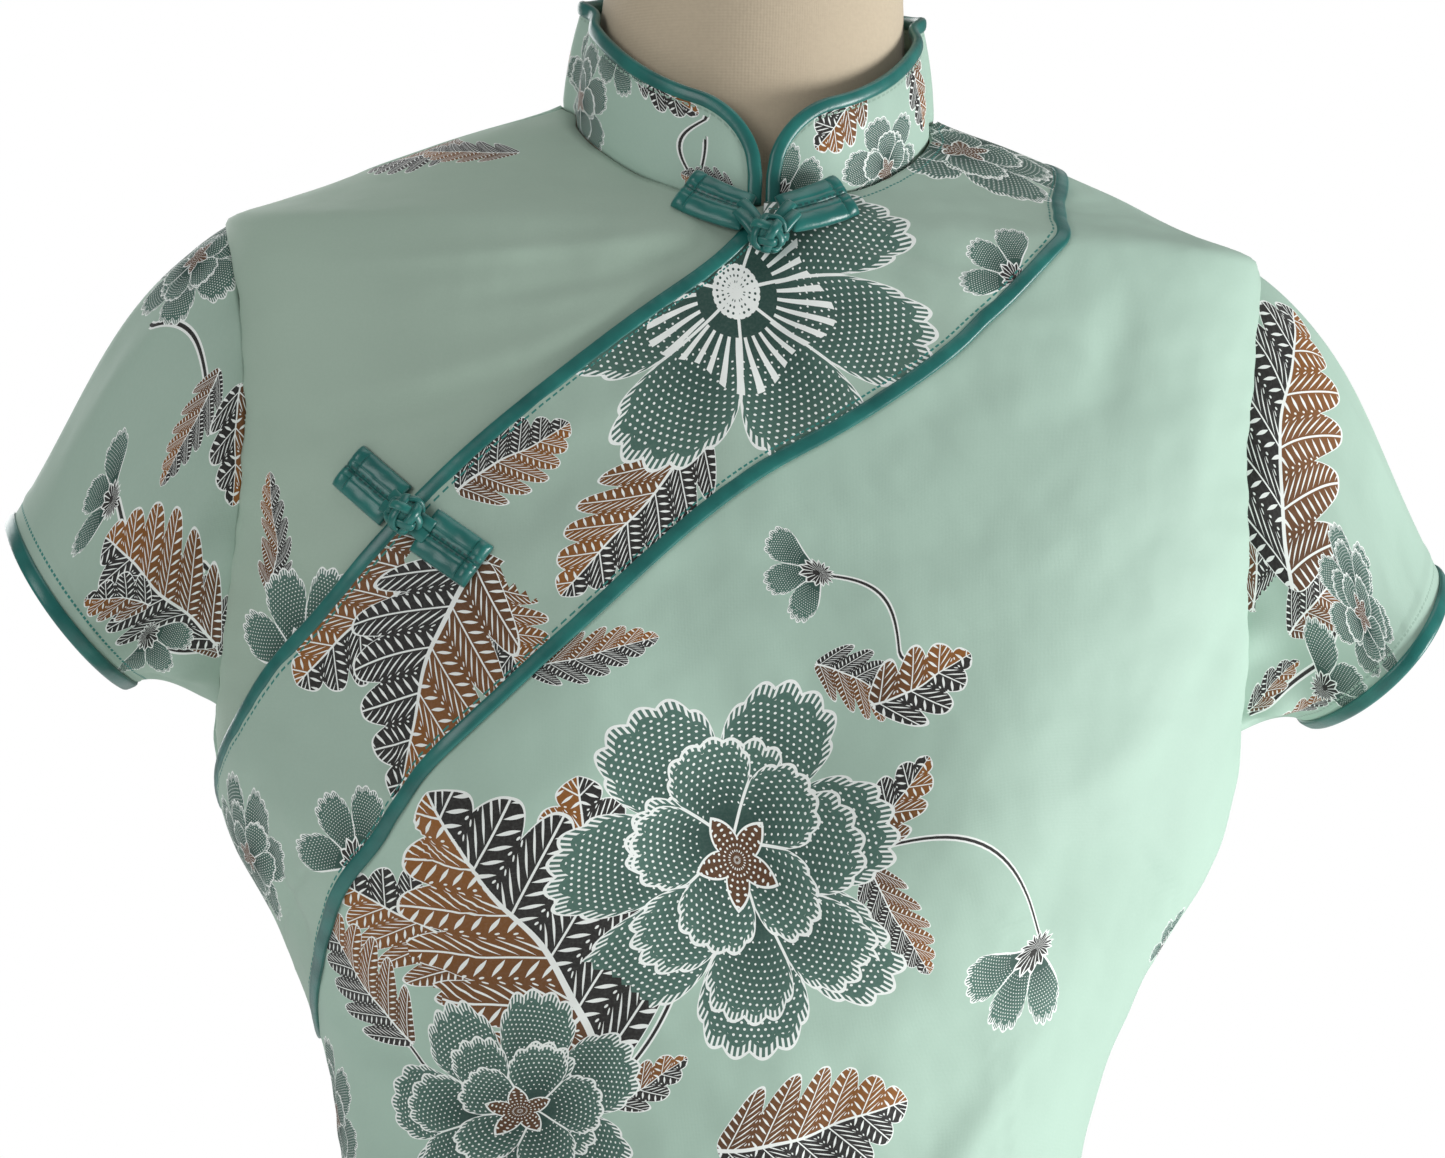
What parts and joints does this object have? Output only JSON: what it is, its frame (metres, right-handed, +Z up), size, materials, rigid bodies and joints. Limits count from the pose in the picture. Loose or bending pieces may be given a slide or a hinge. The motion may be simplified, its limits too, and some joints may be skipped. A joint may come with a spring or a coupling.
{
  "type": "cheongsam dress on dress form",
  "caption": "Knee-length cheongsam with crossover lapel, standing collar, short sleeves and knotted buttons, on a limbless dress form with a pole and round base.",
  "frame": {"origin": "on the floor under the middle of the pole and base", "axes": "+Z up, -Y the wearer's front, +X the wearer's left side"},
  "size_m": [0.5326, 0.43, 1.5053],
  "materials": {
    "cotton": "plain woven mint cotton",
    "printed_cotton": "mint cotton with a resist-style floral print",
    "satin": "teal satin bias strip",
    "linen": "undyed linen cover",
    "wood": "satin varnished wood",
    "steel": "brushed steel"
  },
  "bodies": {
    "root": {"front_chest_right": "cotton", "front_main": "printed_cotton", "back": "printed_cotton", "lapel_band": "printed_cotton", "sleeve_left": "printed_cotton", "sleeve_right": "printed_cotton", "collar": "printed_cotton", "binding_collar": "satin", "binding_lapel_upper": "satin", "binding_lapel_lower": "satin", "binding_sleeve_left": "satin", "binding_sleeve_right": "satin", "frog_neck_knot": "satin", "frog_neck_button_tab": "satin", "frog_neck_loop_tab": "satin", "frog_chest_knot": "satin", "frog_chest_button_tab": "satin", "frog_chest_loop_tab": "satin", "form_torso": "linen", "form_neck_cap": "wood", "form_socket": "wood", "form_pole": "steel", "form_base": "steel"}
  },
  "joints": []
}
